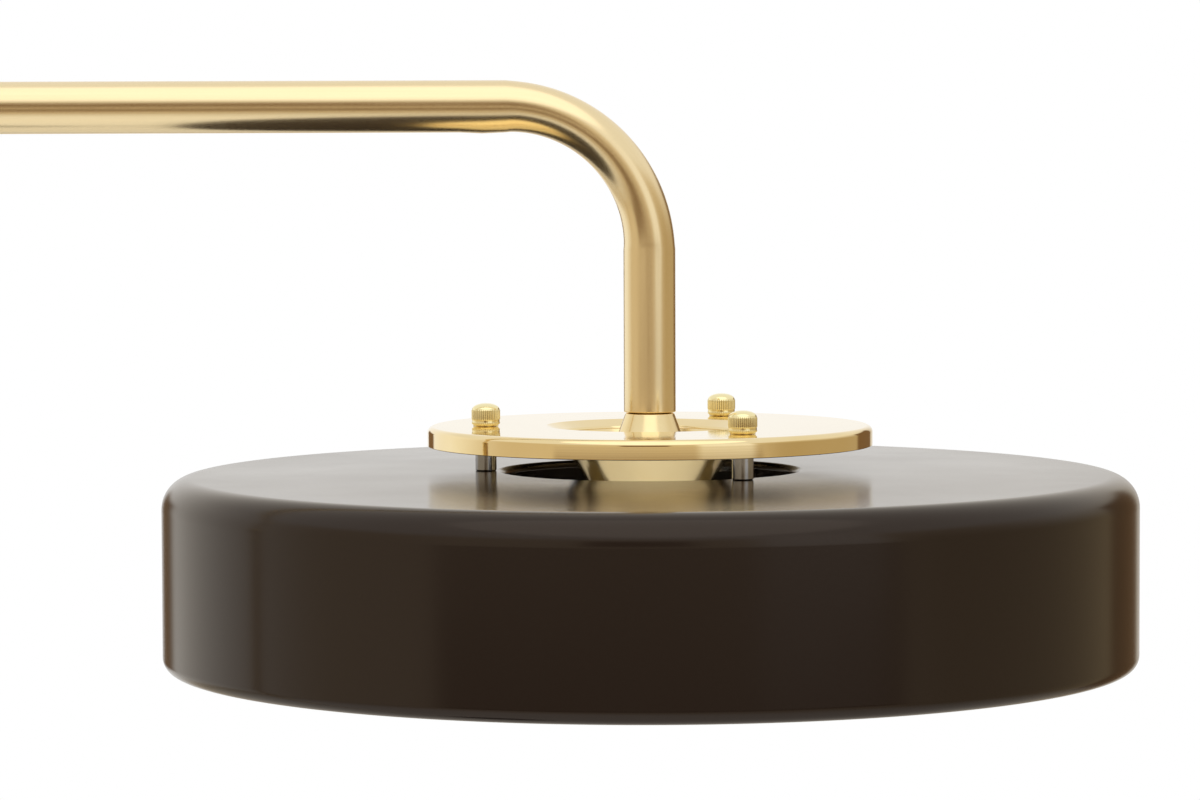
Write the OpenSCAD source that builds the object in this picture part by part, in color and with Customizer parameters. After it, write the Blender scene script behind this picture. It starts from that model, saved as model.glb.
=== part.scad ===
// Swing-arm floor lamp: weighted base with a foot switch, stem, swivelling arm and drum shade.
// Frame: +Z up, floor at z = 0 under the stem's axis, arm along +X. Millimetres.

/* [Overall] */
// Height from the floor to the top of the arm
overall_height = 1400; // [1200:10:1600]
// Distance from the stem's axis to the shade's axis
reach = 430; // [350:5:520]
// Drop from the arm's axis to either end of the arm tube
arm_drop = 94; // [75:1:130]

/* [Arm and stem] */
// Outer diameter of the arm tube
arm_d = 16; // [13:0.5:20]
// Wall of the arm tube
arm_wall = 1.5; // [1:0.1:2]
// Centreline radius of the arm's two bends
bend_r = 44; // [34:1:60]
// Outer diameter of the stem
stem_d = 22; // [19:0.5:28]
// Wall of the stem
stem_wall = 2; // [1.2:0.1:2.6]
// Length of the spigots that stand inside the tubes
spigot_l = 18; // [12:1:30]
// Wall of a spigot inside the arm tube
spigot_wall = 1.3; // [0.8:0.1:1.6]

/* [Conical collars] */
// Slope of the collars from the vertical, in degrees
collar_angle = 20; // [14:1:25]
// Step from a tube's outside in to the top of its collar
collar_step = 0.5; // [0.2:0.1:1]
// Height of the collar at the foot of the stem
foot_collar_h = 26; // [18:1:40]
// Wall of the hollow threaded rods
nipple_wall = 1.5; // [1:0.1:1.8]
// Length of a threaded rod inside its tube
nipple_over = 6; // [4:0.5:10]
// Length of the foot's threaded rod below its nut
foot_tail = 0.5; // [0.5:0.1:1.5]
// Length of the head's threaded rod below its nut
head_tail = 2; // [1:0.5:4]

/* [Head ring and funnel] */
// Distance from the arm tube's end down to the top of the ring
ring_drop = 4.1; // [2:0.1:8]
// Thickness of the ring
ring_h = 6; // [4.5:0.5:9]
// Width of the ring outside the circle of fixings
ring_margin = 18; // [9:1:24]
// Radius on the ring's upper outer edge
ring_edge = 2; // [0.5:0.25:3]
// Width of the bevel from the ring's top down into the funnel
throat_w = 4; // [2:0.1:6]
// Depth of the bevel
throat_h = 1.9; // [1:0.1:2.5]
// Height of the ring's lip below the bevel
throat_lip = 0.8; // [0.5:0.1:1.2]
// Slope of the funnel's wall from the vertical, in degrees
funnel_angle = 33; // [28:0.1:40]
// Depth from the ring's top to the funnel's floor
funnel_depth = 18; // [14:0.5:22]
// Wall of the funnel
funnel_wall = 1.2; // [0.8:0.1:1.6]
// Thickness of the funnel's floor
funnel_floor_h = 2; // [1.2:0.1:3]
// Clear floor between the collar and the funnel's wall
funnel_margin = 2; // [0.5:0.1:4]
// Width of the funnel's rim that carries the ring
land_w = 2.2; // [2:0.1:4]

/* [Shade] */
// Outer diameter of the shade
shade_d = 300; // [260:5:360]
// Height of the shade from its lower edge to its upper rim
shade_h = 59; // [50:1:80]
// Wall of the shade
shade_wall = 1.5; // [1:0.1:2]
// Radius of the upper edge
shade_top_edge = 9.5; // [5:0.5:14]
// Radius of the lower edge
shade_bottom_edge = 4.35; // [3:0.05:7]
// Rise of the top from its rim to its flat middle
shade_crown = 1.3; // [0.4:0.1:3]
// Diameter of the hole in the top
shade_hole_d = 90; // [84:1:110]
// Radius of the edge that turns down round the hole
shade_hole_edge = 2.2; // [2.1:0.1:3]
// Width of the lip that turns in at the lower edge
shade_lip = 8; // [7:0.5:12]
// Thickness of the diffuser that lies on the lip
diffuser_h = 2; // [1.5:0.5:4]
// Distance from the diffuser's edge to the outer end of the lip's flat
diffuser_inset = 1.2; // [0.5:0.1:1.8]

/* [Shade fixings] */
// Clear distance from the hole's turned edge to the screws' heads
fixing_margin = 0.1; // [0.1:0.1:5]
// Flat seat on the shade outside the circle of fixings
seat_margin = 11.5; // [6:0.5:16]
// Diameter of the screws
screw_d = 4; // [3:0.5:4.5]
// Diameter of the screws' heads
screw_head_d = 6.4; // [6:0.2:9]
// Height of the screws' heads
screw_head_h = 2.4; // [1.6:0.1:3]
// Outer diameter of the spacers
spacer_d = 6.5; // [5.5:0.1:8]
// Length of the spacers
spacer_l = 7.7; // [5:0.1:12]

/* [Thumb nuts] */
// Diameter over the knurl
nut_d = 8.8; // [7.5:0.1:12]
// Height of the undercut foot
nut_foot_h = 0.5; // [0.3:0.1:1]
// Depth of the undercut at the foot
nut_undercut = 0.5; // [0.3:0.1:1]
// Height of the plain band
nut_band_h = 1.7; // [1:0.1:3]
// Height of the knurled band
knurl_h = 3; // [2:0.1:5]
// Height of the dome
nut_dome_h = 1.8; // [1:0.1:3]
// Depth of the bore inside the dome
nut_bore_over = 0.3; // [0.1:0.1:0.6]
// Ridges round the knurl
knurl_teeth = 44; // [24:2:48]
// Depth of the knurl
knurl_depth = 0.3; // [0.15:0.05:0.4]
// Step from the plain band in to the knurl, and from the knurl in to the dome
knurl_step = 0.05; // [0.02:0.01:0.2]

/* [Lamps] */
// Thickness of the lamp plate
plate_h = 1.5; // [1:0.1:2]
// Distance that the lamp plate stands out round the lampholders
plate_margin = 1; // [0.5:0.5:2]
// Width cut off the corners of the lamp plate
plate_cut = 4; // [2:0.5:6]
// Width and height of a lampholder
holder_w = 17; // [15:0.5:19]
// Length of a lampholder
holder_l = 20; // [16:1:24]
// Diameter of a lamp
lamp_d = 15; // [12:0.5:16]
// Length of a lamp outside its lampholder
lamp_l = 45; // [36:1:48]
// Gap between the lamp plate's tabs and a lampholder
holder_gap = 1.5; // [1:0.5:4]
// Depth of the socket in a lampholder
socket_h = 4; // [3:0.5:6]
// Width cut off the corners of a lampholder
holder_cut = 2; // [1:0.5:3]
// Width of a lamp's cap
cap_w = 14; // [11:0.5:14]
// Thickness of a lamp's cap
cap_t = 6.4; // [5:0.2:8]
// Length of the terminal block in the base
terminal_l = 16; // [12:1:20]
// Width of the terminal blocks
terminal_w = 12; // [10:0.5:16]
// Height of the terminal blocks
terminal_h = 9; // [7:0.5:9]
// Gap between the head's threaded rod and its terminal block
terminal_gap = 0.5; // [0.3:0.1:2]
// Gap between the lamp plate's tabs and its nut
tab_gap = 1.5; // [1:0.5:3]
// Height of the hexagon nuts on the threaded rods
hex_nut_h = 5; // [4:0.5:6]
// Wall of the hexagon nuts at their flats
hex_nut_wall = 2; // [1.6:0.1:3]

/* [Swivel] */
// Height of the housing above the stem
house_h = 34; // [33:1:50]
// Wall of the housing's spigot
house_wall = 1.7; // [1.2:0.1:2.2]
// Wall of the bush
bush_wall = 2.1; // [1.5:0.1:2.4]
// Length of the bush with its flange
bush_l = 24; // [16:1:26]
// Width of the bush's flange
flange_w = 2.4; // [1.5:0.1:4]
// Height of the bush's flange
flange_h = 2; // [1.5:0.1:3]
// Gap that shows between the housing and the arm's cap
swivel_gap = 0.5; // [0.3:0.1:1]
// Straight band at the foot of the arm's cap
cap_band_h = 2; // [1:0.5:5]
// Diameter of the stop pin
stop_pin_d = 2; // [1.5:0.1:3]
// Depth of the groove that the stop pin runs in
groove_h = 4; // [3:0.5:6]
// Wall inside and outside the groove
groove_wall = 1; // [0.7:0.1:2]
// Swing of the arm to either side, in degrees
swing_limit = 165; // [90:1:168]
// Depth of the stop pin's hole in the arm's cap
stop_hole_h = 4; // [3:0.5:5]
// Play between the bush and the circlip
clip_play = 0.2; // [0.1:0.05:0.4]
// Depth of the circlip's groove
clip_groove = 0.7; // [0.4:0.1:1]
// Length of the shaft below the circlip
shaft_tail = 3; // [2:0.5:5]
// Thickness of the circlip
clip_h = 1.2; // [0.8:0.1:1.6]
// Width of the circlip outside the shaft
clip_w = 1.6; // [1:0.1:1.8]

/* [Base] */
// Outer diameter of the base
base_d = 300; // [260:5:360]
// Height of the base
base_h = 28; // [26:1:40]
// Wall of the base cover
base_wall = 1.5; // [1:0.1:2.5]
// Radius of the cover's upper edge
base_edge = 9.5; // [5:0.5:14]
// Height of the pad under the base
pad_h = 2; // [1.5:0.5:4]
// Distance from the pad's edge to the base's edge
pad_inset = 10; // [6:1:20]
// Gap between the weight and the cover's wall
weight_gap = 0.5; // [0.3:0.1:1.5]
// Thickness of the weight's web under the cover
web_h = 5.5; // [4:0.5:8]
// Depth of the hollow cast in the weight's underside
core_h = 6; // [5:0.5:10]
// Width of the weight's outer rim beside the hollow
rim_w = 23; // [18:1:30]
// Wall of the weight's boss round the nut
boss_wall = 4; // [3:0.5:8]
// Thickness of the washer under the weight
washer_h = 2; // [1.5:0.5:3]
// Width of the washer outside the foot nut
washer_margin = 1.5; // [1:0.5:4]
// Height of the foot nut
foot_nut_h = 6; // [5:0.5:7]
// Wall of the foot nut at its flats
foot_nut_wall = 2.9; // [2:0.1:4]

/* [Foot switch] */
// Distance from the base's edge in to the switch
switch_inset = 55; // [50:1:70]
// Diameter of the button
button_d = 16; // [12:0.5:18]
// Height of the button above its bezel
button_rise = 3.5; // [3.2:0.1:6]
// Travel of the button
button_travel = 3; // [1.5:0.1:3]
// Radius of the button's upper edge
button_edge = 1.2; // [0.5:0.1:2]
// Width of the button's flange
button_flange_w = 1; // [0.8:0.1:2]
// Height of the button's flange
button_flange_h = 2.5; // [1.5:0.5:4]
// Room under the button's flange at the end of its travel
button_room = 1; // [0.5:0.5:2]
// Width of the bezel's top
bezel_w = 7.5; // [6.5:0.5:10]
// Height of the bezel
bezel_h = 3; // [2:0.5:5]
// Wall of the switch's neck
neck_wall = 2; // [1.4:0.1:3]
// Height of the switch's nut
switch_nut_h = 4.5; // [3:0.5:6]
// Wall of the switch's nut at its flats
switch_nut_wall = 2.5; // [2:0.1:4]
// Width of the switch's body outside its neck
switch_body_w = 3; // [2:0.5:4]
// Gap between the switch's body and the pad
switch_lift = 1; // [0.5:0.5:3]
// Room round the switch's nut in the weight
switch_room = 1.5; // [1:0.5:4]

/* [Cord gland and leads] */
// Bore of the gland
gland_bore_d = 7.5; // [6:0.5:9]
// Wall of the gland's barrel
gland_wall = 2.2; // [1.5:0.1:3]
// Width of the gland's flange outside its barrel
gland_flange_w = 3; // [2:0.5:5]
// Height of the gland's flange
gland_flange_h = 3; // [2:0.5:5]
// Length of the gland's barrel
gland_l = 22; // [16:1:28]
// Height of the gland's axis above the floor
gland_z = 11; // [10:0.5:14]
// Diameter of the leads inside the tubes
lead_d = 4; // [3:0.5:4.5]

/* [Fits] */
// Gap between pieces that are fixed in each other
fit_gap = 0.1; // [0.05:0.01:0.12]
// Radial clearance of a turning fit
running_gap = 0.03; // [0.02:0.01:0.08]
// Gap between pieces that move past each other
moving_gap = 0.3; // [0.2:0.05:0.4]
// Radial clearance of a thumb nut on its screw
thread_gap = 0.05; // [0.03:0.01:0.08]
// Gap between a thumb nut and the ring under it
seat_gap = 0.1; // [0.05:0.05:0.2]
// Radial clearance of a screw in its hole
hole_gap = 0.15; // [0.1:0.05:0.3]
// Radial clearance of a lead in its hole
lead_gap = 0.6; // [0.4:0.1:0.8]

/* [Hidden] */
$fn = 96;
eps = 0.5;
fixing_count = 3;
lamp_count = 2;

brass = "#d9b870";
dark_bronze = "#33271f";
steel = "#8d8b89";
iron = "#47474a";
rubber = "#242424";
black_plastic = "#2a2a2b";
white_enamel = "#ecebe6";
ceramic = "#f1ede2";
opal = "#f8f6f0";
lamp_glass = "#fff4dc";
lead_sheath = "#d8d4cb";

// Tubes and the arm's path
arm_r = arm_d / 2;
arm_in_r = arm_r - arm_wall;
stem_r = stem_d / 2;
stem_in_r = stem_r - stem_wall;
arm_axis_z = overall_height - arm_r;
tube_end_z = arm_axis_z - arm_drop;
arm_collar_r = arm_r - collar_step;
stem_collar_r = stem_r - collar_step;
arm_spigot_r = arm_in_r - fit_gap;
stem_spigot_r = stem_in_r - fit_gap;
lead_r = lead_d / 2;
lead_hole_r = lead_r + lead_gap;

// Hollow threaded rods and their nuts
rod_hole_r = arm_spigot_r - spigot_wall;
nipple_r = rod_hole_r - fit_gap;
nipple_bore_r = nipple_r - nipple_wall;
hex_nut_r = (nipple_r + hex_nut_wall) / cos(30);

// Head ring and funnel
ring_top_z = tube_end_z - ring_drop;
ring_bottom_z = ring_top_z - ring_h;
funnel_floor_z = ring_top_z - funnel_depth;
funnel_base_z = funnel_floor_z - funnel_floor_h;
head_collar_base_r = arm_collar_r + (tube_end_z - funnel_floor_z) * tan(collar_angle);
floor_r = head_collar_base_r + funnel_margin;
throat_z = ring_top_z - throat_h;
land_z = throat_z - throat_lip;
funnel_wall_x = funnel_wall / cos(funnel_angle);
throat_end_r = funnel_r(throat_z);
ring_hole_r = throat_end_r + throat_w;
land_in_r = funnel_r(land_z);
land_r = land_in_r + land_w;

// Shade and its fixings
shade_r = shade_d / 2;
shade_hole_r = shade_hole_d / 2;
fixing_r = shade_hole_r + shade_hole_edge + fixing_margin + screw_head_d / 2;
ring_r = fixing_r + ring_margin;
seat_r = fixing_r + seat_margin;
seat_z = ring_bottom_z - spacer_l;
shade_rim_z = seat_z - shade_crown;
shade_bottom_z = shade_rim_z - shade_h;
shade_shoulder_r = shade_r - shade_top_edge;
screw_r = screw_d / 2;
screw_hole_r = screw_r + hole_gap;
nut_r = nut_d / 2;
nut_h = nut_foot_h + nut_band_h + knurl_h + nut_dome_h;
nut_foot_r = nut_r - nut_undercut;
nut_bore_r = screw_r + thread_gap;
nut_bore_h = nut_h - nut_dome_h + nut_bore_over;
nut_z = ring_top_z + seat_gap;
screw_top_z = nut_z + nut_bore_h - moving_gap;

// Lamp plate and what hangs on it
plate_top_z = funnel_base_z - hex_nut_h;
plate_bottom_z = plate_top_z - plate_h;
plate_nut_z = plate_bottom_z - hex_nut_h;
head_nipple_z = plate_nut_z - head_tail;
head_terminal_z = head_nipple_z - terminal_gap;
head_terminal_x = hex_nut_r + tab_gap;
lamp_axis_z = plate_bottom_z - holder_w / 2;
holder_start = head_terminal_x + plate_h + holder_gap;
plate_l = 2 * (holder_start + holder_l + plate_margin);
plate_w = holder_w + 2 * plate_margin;

// Swivel
house_bore_r = stem_spigot_r - house_wall;
bush_r = house_bore_r - fit_gap;
bush_bore_r = bush_r - bush_wall;
shaft_r = bush_bore_r - running_gap;
bush_flange_r = bush_r + flange_w;
groove_in_r = bush_flange_r + fit_gap + groove_wall;
groove_w = stop_pin_d + 2 * moving_gap;
swivel_r = groove_in_r + groove_w + groove_wall;
stop_circle_r = groove_in_r + groove_w / 2;
stop_pin_r = stop_pin_d / 2;
cap_h = cap_band_h + (swivel_r - arm_collar_r) / tan(collar_angle);
thrust_z = tube_end_z - cap_h;
house_top_z = thrust_z - swivel_gap;
stem_top_z = house_top_z - house_h;
house_flare_h = (swivel_r - stem_collar_r) / tan(collar_angle);
bush_bottom_z = thrust_z - bush_l;
clip_z = bush_bottom_z - clip_play - clip_h;
clip_groove_r = shaft_r - clip_groove;
shaft_end_z = clip_z - shaft_tail;
stop_half_angle = asin((stop_pin_r + moving_gap) / stop_circle_r);
lug_half_angle = 180 - swing_limit - stop_half_angle;

// Base
base_r = base_d / 2;
base_under_z = base_h - base_wall;
pad_r = base_r - pad_inset;
weight_r = base_r - base_wall - weight_gap;
pocket_top_z = base_under_z - web_h;
pocket_r = 2 * hex_nut_r;
boss_r = pocket_r + boss_wall;
core_r = weight_r - rim_w;
core_top_z = pad_h + core_h;
foot_nut_z = pocket_top_z - washer_h - foot_nut_h;
foot_nut_r = (nipple_r + foot_nut_wall) / cos(30);
foot_collar_z = base_h + foot_collar_h;
foot_collar_base_r = stem_collar_r + foot_collar_h * tan(collar_angle);
base_terminal_z = pad_h + terminal_h;

// Foot switch
switch_x = base_r - switch_inset;
button_r = button_d / 2;
bezel_bore_r = button_r + moving_gap;
button_flange_r = button_r + button_flange_w;
well_r = button_flange_r + moving_gap;
neck_r = well_r + neck_wall;
bezel_r = bezel_bore_r + bezel_w;
switch_nut_z = base_under_z - switch_nut_h;
switch_nut_r = (neck_r + switch_nut_wall) / cos(30);
switch_body_r = neck_r + switch_body_w;
switch_body_z = pad_h + switch_lift;
switch_pocket_r = switch_nut_r + switch_room;
button_top_z = base_h + bezel_h + button_rise;
button_flange_z = base_h - moving_gap - button_flange_h;
well_z = button_flange_z - button_travel - button_room;

// Cord gland
gland_bore_r = gland_bore_d / 2;
gland_r = gland_bore_r + gland_wall;
gland_flange_r = gland_r + gland_flange_w;
gland_hole_r = gland_r + moving_gap;

// Radius of the funnel's inside at a height
function funnel_r(z) = floor_r + (z - funnel_floor_z) * tan(funnel_angle);

// Rise of the shade's top above its rim at a radius
function crown(r) = shade_crown * (1 + cos(180 * (r - seat_r) / (shade_shoulder_r - seat_r))) / 2;

// Points of an arc round [x, z]
function arc(x, z, r, from, to, steps = 8) = [
    for (i = [0:steps])
        let (a = from + (to - from) * i / steps)
        [x + r * cos(a), z + r * sin(a)]
];

// Outline of a rectangle with its corners cut
function cut_bar(l, w, cut) = let (x = l / 2, y = w / 2) [
    [x, y - cut], [x - cut, y], [cut - x, y], [-x, y - cut],
    [-x, cut - y], [cut - x, -y], [x - cut, -y], [x, cut - y]
];

// Outline of a collar that carries a tube on its top and in its spigot
function collar_outline(z0, base_r, z1, top_r, spigot_r, bore_r) = [
    [bore_r, z0], [base_r, z0], [top_r, z1],
    [spigot_r, z1], [spigot_r, z1 + spigot_l], [bore_r, z1 + spigot_l]
];

module turned(outline) {
    rotate_extrude()
        polygon(outline);
}

module post(r, z0, z1) {
    translate([0, 0, z0])
        cylinder(r = r, h = z1 - z0);
}

module hollow_post(r, bore_r, z0, z1) {
    difference() {
        post(r, z0, z1);
        post(bore_r, z0 - eps, z1 + eps);
    }
}

module hex_nut(r, bore_r, z0, z1) {
    difference() {
        translate([0, 0, z0])
            cylinder(r = r, h = z1 - z0, $fn = 6);
        post(bore_r, z0 - eps, z1 + eps);
    }
}

module at_head() {
    translate([reach, 0, 0])
        children();
}

module at_fixing(i) {
    at_head()
        rotate(180 + (i - 1) * 360 / fixing_count)
            translate([fixing_r, 0, 0])
                children();
}

module at_fixings() {
    for (i = [1:fixing_count])
        at_fixing(i)
            children();
}

// Lamps lie side by side and point opposite ways, with their axis along +X here
module at_lamp(i) {
    at_head()
        rotate(180 * (i - 1))
            translate([holder_start, 0, lamp_axis_z])
                rotate([0, 90, 0])
                    children();
}

// Round bar along the arm's path, from the stem's side to the head's side
module arm_bar(r, z_stem, z_head) {
    bend_z = arm_axis_z - bend_r;
    hanging_post(r, bend_z, z_stem);
    translate([bend_r, 0, bend_z])
        rotate([90, 0, 0])
            rotate(90)
                quarter_bend(r);
    translate([bend_r, 0, arm_axis_z])
        rotate([0, 90, 0])
            cylinder(r = r, h = reach - 2 * bend_r);
    translate([reach - bend_r, 0, bend_z])
        rotate([90, 0, 0])
            quarter_bend(r);
    at_head()
        hanging_post(r, bend_z, z_head);
}

// Post measured down from its top, so that it meets the bend above it exactly
module hanging_post(r, z_top, z_bottom) {
    translate([0, 0, z_top])
        mirror([0, 0, 1])
            cylinder(r = r, h = z_top - z_bottom);
}

module quarter_bend(r) {
    rotate_extrude(angle = 90)
        translate([bend_r, 0])
            circle(r = r);
}

module base_pad() {
    edge = pad_h / 4;
    color(rubber)
        turned([[0, 0], [pad_r - edge, 0], [pad_r, edge], [pad_r, pad_h], [0, pad_h]]);
}

module base_weight() {
    shoulder_r = weight_r - base_edge + base_wall;
    color(iron)
        difference() {
            turned(concat(
                [[nipple_r + hole_gap, pad_h], [weight_r, pad_h]],
                arc(shoulder_r, base_h - base_edge, base_edge - base_wall, 0, 90),
                [[nipple_r + hole_gap, base_under_z]]
            ));
            post(pocket_r, pad_h - eps, pocket_top_z);
            difference() {
                post(core_r, pad_h - eps, core_top_z);
                post(boss_r, pad_h - 2 * eps, core_top_z + eps);
            }
            translate([switch_x, 0, 0])
                post(switch_pocket_r, pad_h - eps, base_h);
            translate([0, -lead_d, pad_h - eps])
                cube([boss_r + eps, 2 * lead_d, core_h + eps]);
            translate([-base_r, 0, gland_z])
                rotate([0, 90, 0])
                    cylinder(r = gland_hole_r, h = base_r - core_r + eps);
            translate([eps - core_r - gland_l / 2, -gland_hole_r, pad_h - eps])
                cube([gland_l, 2 * gland_hole_r, gland_z + gland_bore_r - pad_h + eps]);
        }
}

module base_cover() {
    color(dark_bronze)
        difference() {
            turned(concat(
                [[nipple_r + hole_gap, base_h]],
                arc(base_r - base_edge, base_h - base_edge, base_edge, 90, 0),
                [[base_r, pad_h], [base_r - base_wall, pad_h]],
                arc(base_r - base_edge, base_h - base_edge, base_edge - base_wall, 0, 90),
                [[nipple_r + hole_gap, base_under_z]]
            ));
            translate([switch_x, 0, 0])
                post(neck_r + moving_gap, base_under_z - eps, base_h + eps);
            translate([-base_r - eps, 0, gland_z])
                rotate([0, 90, 0])
                    cylinder(r = gland_hole_r, h = 4 * base_wall);
        }
}

module cord_gland() {
    cut = gland_flange_h / 3;
    color(black_plastic)
        translate([-base_r, 0, gland_z])
            rotate([0, -90, 0])
                turned([
                    [gland_bore_r, -gland_l], [gland_r, -gland_l], [gland_r, 0],
                    [gland_flange_r, 0], [gland_flange_r, gland_flange_h - cut],
                    [gland_flange_r - cut, gland_flange_h], [gland_bore_r, gland_flange_h]
                ]);
}

module terminal_block(length) {
    screw_pitch = length / 3;
    difference() {
        translate([-length / 2, -terminal_w / 2, 0])
            cube([length, terminal_w, terminal_h]);
        for (x = [-screw_pitch, screw_pitch], y = [-1, 1] * terminal_w / 4)
            translate([x, y, terminal_h / 2])
                cylinder(d = terminal_w / 5, h = terminal_h);
    }
}

module base_terminal() {
    color(black_plastic)
        translate([0, 0, pad_h])
            terminal_block(terminal_l);
}

module switch_body() {
    color(black_plastic)
        translate([switch_x, 0, 0])
            difference() {
                union() {
                    post(switch_body_r, switch_body_z, switch_nut_z);
                    post(neck_r, switch_nut_z - eps, base_h);
                }
                post(well_r, well_z, base_h + eps);
            }
}

module switch_nut() {
    color(steel)
        translate([switch_x, 0, 0])
            hex_nut(switch_nut_r, neck_r + fit_gap, switch_nut_z, base_under_z);
}

module switch_bezel() {
    color(brass)
        translate([switch_x, 0, base_h])
            turned(concat(
                [[bezel_bore_r, 0], [bezel_r, 0]],
                arc(bezel_r - bezel_h / 2, bezel_h / 2, bezel_h / 2, 0, 90),
                [[bezel_bore_r + bezel_h / 4, bezel_h], [bezel_bore_r, bezel_h * 3 / 4]]
            ));
}

module switch_button() {
    color(brass)
        translate([switch_x, 0, 0])
            turned(concat(
                [[0, button_flange_z], [button_flange_r, button_flange_z]],
                [[button_flange_r, button_flange_z + button_flange_h]],
                [[button_r, button_flange_z + button_flange_h]],
                arc(button_r - button_edge, button_top_z - button_edge, button_edge, 0, 90),
                [[0, button_top_z]]
            ));
}

module switch_lead() {
    start_x = terminal_l / 2;
    end_x = switch_x - switch_body_r - fit_gap;
    color(lead_sheath)
        translate([start_x, 0, pad_h + lead_r])
            rotate([0, 90, 0])
                cylinder(r = lead_r, h = end_x - start_x);
}

module foot_collar() {
    color(brass)
        turned(collar_outline(
            base_h, foot_collar_base_r, foot_collar_z, stem_collar_r, stem_spigot_r, rod_hole_r
        ));
}

module foot_nipple() {
    color(steel)
        hollow_post(nipple_r, nipple_bore_r, foot_nut_z - foot_tail, foot_collar_z + nipple_over);
}

module foot_washer() {
    color(steel)
        hollow_post(foot_nut_r + washer_margin, rod_hole_r, pocket_top_z - washer_h, pocket_top_z);
}

module foot_nut() {
    color(steel)
        hex_nut(foot_nut_r, rod_hole_r, foot_nut_z, foot_nut_z + foot_nut_h);
}

module stem() {
    color(brass)
        hollow_post(stem_r, stem_in_r, foot_collar_z, stem_top_z);
}

module stem_lead() {
    color(lead_sheath)
        post(lead_r, base_terminal_z, shaft_end_z - moving_gap);
}

module swivel_housing() {
    groove_z = house_top_z - groove_h;
    color(brass)
        difference() {
            turned([
                [house_bore_r, stem_top_z - spigot_l], [stem_spigot_r, stem_top_z - spigot_l],
                [stem_spigot_r, stem_top_z], [stem_collar_r, stem_top_z],
                [swivel_r, stem_top_z + house_flare_h], [swivel_r, house_top_z],
                [bush_flange_r + fit_gap, house_top_z], [bush_flange_r + fit_gap, thrust_z - flange_h],
                [house_bore_r, thrust_z - flange_h]
            ]);
            rotate(180 + lug_half_angle)
                rotate_extrude(angle = 360 - 2 * lug_half_angle)
                    translate([groove_in_r, groove_z])
                        square([groove_w, groove_h + eps]);
        }
}

module swivel_bush() {
    color(brass)
        turned([
            [bush_bore_r, bush_bottom_z], [bush_r, bush_bottom_z], [bush_r, thrust_z - flange_h],
            [bush_flange_r, thrust_z - flange_h], [bush_flange_r, thrust_z], [bush_bore_r, thrust_z]
        ]);
}

module arm_spigot() {
    color(brass)
        difference() {
            turned([
                [lead_hole_r, shaft_end_z], [shaft_r, shaft_end_z],
                [shaft_r, clip_z], [clip_groove_r, clip_z],
                [clip_groove_r, clip_z + clip_h], [shaft_r, clip_z + clip_h],
                [shaft_r, thrust_z], [swivel_r, thrust_z],
                [swivel_r, thrust_z + cap_band_h], [arm_collar_r, tube_end_z],
                [arm_spigot_r, tube_end_z], [arm_spigot_r, tube_end_z + spigot_l],
                [lead_hole_r, tube_end_z + spigot_l]
            ]);
            translate([stop_circle_r, 0, 0])
                post(stop_pin_r + fit_gap / 2, thrust_z - eps, thrust_z + stop_hole_h);
        }
}

module swivel_stop_pin() {
    color(steel)
        translate([stop_circle_r, 0, 0])
            post(stop_pin_r, house_top_z - groove_h + moving_gap, thrust_z + stop_hole_h - fit_gap);
}

module swivel_circlip() {
    color(steel)
        difference() {
            hollow_post(
                shaft_r + clip_w, clip_groove_r + fit_gap / 2,
                clip_z + fit_gap / 2, clip_z + clip_h - fit_gap / 2
            );
            translate([0, -shaft_r / 2, clip_z - eps])
                cube([2 * shaft_r, shaft_r, clip_h + 2 * eps]);
        }
}

module arm_tube() {
    color(brass)
        difference() {
            arm_bar(arm_r, tube_end_z, tube_end_z);
            arm_bar(arm_in_r, tube_end_z - eps, tube_end_z - eps);
        }
}

module arm_lead() {
    color(lead_sheath)
        arm_bar(lead_r, shaft_end_z, head_terminal_z);
}

module head_collar() {
    color(brass)
        at_head()
            turned(collar_outline(
                funnel_floor_z, head_collar_base_r, tube_end_z, arm_collar_r, arm_spigot_r, rod_hole_r
            ));
}

module head_cone() {
    color(brass)
        at_head()
            turned([
                [rod_hole_r, funnel_base_z], [funnel_r(funnel_base_z) + funnel_wall_x, funnel_base_z],
                [funnel_r(ring_bottom_z) + funnel_wall_x, ring_bottom_z], [land_r, ring_bottom_z],
                [land_r, land_z], [land_in_r, land_z],
                [floor_r, funnel_floor_z], [rod_hole_r, funnel_floor_z]
            ]);
}

module head_ring() {
    color(brass)
        difference() {
            at_head()
                turned(concat(
                    [[land_r + fit_gap, ring_bottom_z], [ring_r, ring_bottom_z]],
                    arc(ring_r - ring_edge, ring_top_z - ring_edge, ring_edge, 0, 90),
                    [
                        [ring_hole_r, ring_top_z], [throat_end_r, throat_z],
                        [land_in_r, land_z], [land_r + fit_gap, land_z]
                    ]
                ));
            at_fixings()
                post(screw_hole_r, ring_bottom_z - eps, ring_top_z + eps);
        }
}

module head_nipple() {
    color(steel)
        at_head()
            hollow_post(nipple_r, nipple_bore_r, head_nipple_z, tube_end_z + nipple_over);
}

module head_locknut() {
    color(steel)
        at_head()
            hex_nut(hex_nut_r, rod_hole_r, plate_top_z, funnel_base_z);
}

// Bar across the head, with two tabs bent down that grip the terminal block
module lamp_plate() {
    tab_z = head_terminal_z - terminal_h;
    color(white_enamel)
        at_head() {
            difference() {
                translate([0, 0, plate_bottom_z])
                    linear_extrude(plate_h)
                        polygon(cut_bar(plate_l, plate_w, plate_cut));
                post(rod_hole_r, plate_bottom_z - eps, plate_top_z + eps);
            }
            for (side = [-1, 1])
                translate([side * (head_terminal_x + plate_h / 2) - plate_h / 2, -terminal_w / 2, tab_z])
                    cube([plate_h, terminal_w, plate_bottom_z - tab_z + plate_h / 2]);
        }
}

module plate_nut() {
    color(steel)
        at_head()
            hex_nut(hex_nut_r, rod_hole_r, plate_nut_z, plate_bottom_z);
}

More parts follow.
